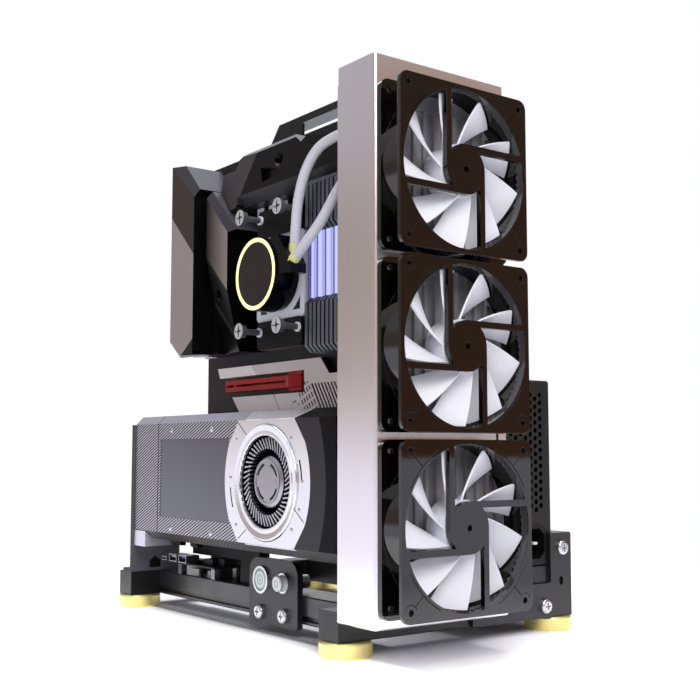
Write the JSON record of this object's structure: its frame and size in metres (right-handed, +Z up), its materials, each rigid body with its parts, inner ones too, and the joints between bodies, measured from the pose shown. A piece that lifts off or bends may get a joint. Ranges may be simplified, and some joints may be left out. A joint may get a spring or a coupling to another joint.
{
  "type": "open air test bench",
  "caption": "Upright open frame on turned feet that carries a mainboard with liquid cooler, a blower graphics card, a power supply and a tall radiator with a column of fans.",
  "frame": {"origin": "on the floor, under the middle of the bench's bounding box", "axes": "+Z up, +X towards the fans along the bench's length, -Y the side that faces the user"},
  "size_m": [0.4252, 0.2454, 0.432],
  "materials": {
    "frame_black": "satin black",
    "panel_grey": "satin dark grey",
    "foot_gold": "turned and gold anodised",
    "steel_bright": "plain bright",
    "button_cap": "satin",
    "casing_silver": "satin",
    "core_black": "matt black fins",
    "fan_black": "gloss black",
    "fan_grey": "pale grey",
    "board_black": "solder mask",
    "cover_black": "satin black",
    "socket_steel": "pressed bright",
    "chipset_grey": "satin",
    "slot_red": "moulded",
    "moulding_black": "moulded",
    "moulding_white": "moulded",
    "pump_black": "gloss",
    "light_ring": "lit diffuser",
    "collar_cream": "satin",
    "hose_grey": "braided sleeve",
    "module_grey": "anodised",
    "light_violet": "lit diffuser",
    "card_black": "gloss",
    "card_trim": "woven hatch",
    "card_window": "smoked pane",
    "card_silver": "satin",
    "wheel_dark": "moulded",
    "post_brass": "turned",
    "supply_grey": "powder coat"
  },
  "bodies": {
    "bench": {"left_cross_rail": "frame_black", "right_cross_rail": "frame_black", "front_rail": "frame_black", "rear_rail": "frame_black", "gpu_mount_plate": "frame_black", "motherboard_tray": "frame_black", "psu_holder": "frame_black", "psu_saddles": "frame_black", "button_panel": "panel_grey", "feet": "foot_gold", "frame_screws": "steel_bright", "cooler_screws": "steel_bright", "button_bezels": "steel_bright", "gpu_bracket": "steel_bright", "psu_fan_guard": "steel_bright", "radiator_casing": "casing_silver", "radiator_core": "core_black", "fan_frame_lower": "fan_black", "fan_frame_middle": "fan_black", "fan_frame_upper": "fan_black", "motherboard": "board_black", "gpu_board": "board_black", "hub_board": "board_black", "processor": "board_black", "io_cover": "cover_black", "vrm_cover": "cover_black", "rear_io_ports": "socket_steel", "hub_ports": "socket_steel", "chipset_plate": "chipset_grey", "pcie_slot": "slot_red", "cooler_bars": "moulding_black", "riser_slot": "moulding_black", "psu_inlet": "moulding_black", "cooler_frame": "moulding_white", "pump_housing": "pump_black", "pump_ring": "light_ring", "tube_fittings": "collar_cream", "tube_upper": "hose_grey", "tube_lower": "hose_grey", "memory_module_1": "module_grey", "memory_module_2": "module_grey", "memory_module_3": "module_grey", "memory_module_4": "module_grey", "memory_lights": "light_violet", "gpu_shroud": "card_black", "gpu_trim": "card_trim", "gpu_window": "card_window", "gpu_fan_frame": "card_silver", "gpu_support_block": "card_silver", "hub_standoffs": "post_brass", "psu_case": "supply_grey"},
    "lower_fan": {"fan_rotor_lower": "fan_grey"},
    "middle_fan": {"fan_rotor_middle": "fan_grey"},
    "upper_fan": {"fan_rotor_upper": "fan_grey"},
    "card_blower": {"gpu_blower_wheel": "wheel_dark"},
    "supply_fan": {"psu_fan_rotor": "moulding_black"},
    "power_button": {"power_button_cap": "button_cap"},
    "reset_button": {"reset_button_cap": "button_cap"},
    "slot_latch": {"pcie_latch": "slot_red"},
    "supply_switch": {"psu_switch": "moulding_black"}
  },
  "joints": [
    {"name": "lower_fan_spin", "type": "hinge", "parent": "bench", "child": "lower_fan", "pos_m": [0.19762, -0.0585, 0.092], "axis": [1, 0, 0], "continuous": true},
    {"name": "middle_fan_spin", "type": "hinge", "parent": "bench", "child": "middle_fan", "pos_m": [0.19762, -0.0585, 0.2167], "axis": [1, 0, 0], "continuous": true},
    {"name": "upper_fan_spin", "type": "hinge", "parent": "bench", "child": "upper_fan", "pos_m": [0.19762, -0.0585, 0.3414], "axis": [1, 0, 0], "continuous": true},
    {"name": "card_blower_spin", "type": "hinge", "parent": "bench", "child": "card_blower", "pos_m": [0.04462, -0.1005, 0.1205], "axis": [0, 1, 0], "continuous": true},
    {"name": "supply_fan_spin", "type": "hinge", "parent": "bench", "child": "supply_fan", "pos_m": [0.06283, 0.086, 0.127], "axis": [0, 1, 0], "continuous": true},
    {"name": "power_button_press", "type": "slide", "parent": "bench", "child": "power_button", "axis": [0, 1, 0], "range_m": [0, 0.0016], "stiffness_N_per_m": 800},
    {"name": "reset_button_press", "type": "slide", "parent": "bench", "child": "reset_button", "axis": [0, 1, 0], "range_m": [0, 0.002], "stiffness_N_per_m": 800},
    {"name": "slot_latch_swing", "type": "hinge", "parent": "bench", "child": "slot_latch", "pos_m": [0.01963, -0.0655, 0.202], "axis": [0, 0, 1], "range_deg": [0, 16]},
    {"name": "supply_switch_rock", "type": "hinge", "parent": "bench", "child": "supply_switch", "pos_m": [0.13883, 0.054, 0.07], "axis": [0, -1, 0], "range_deg": [0, 14]}
  ]
}
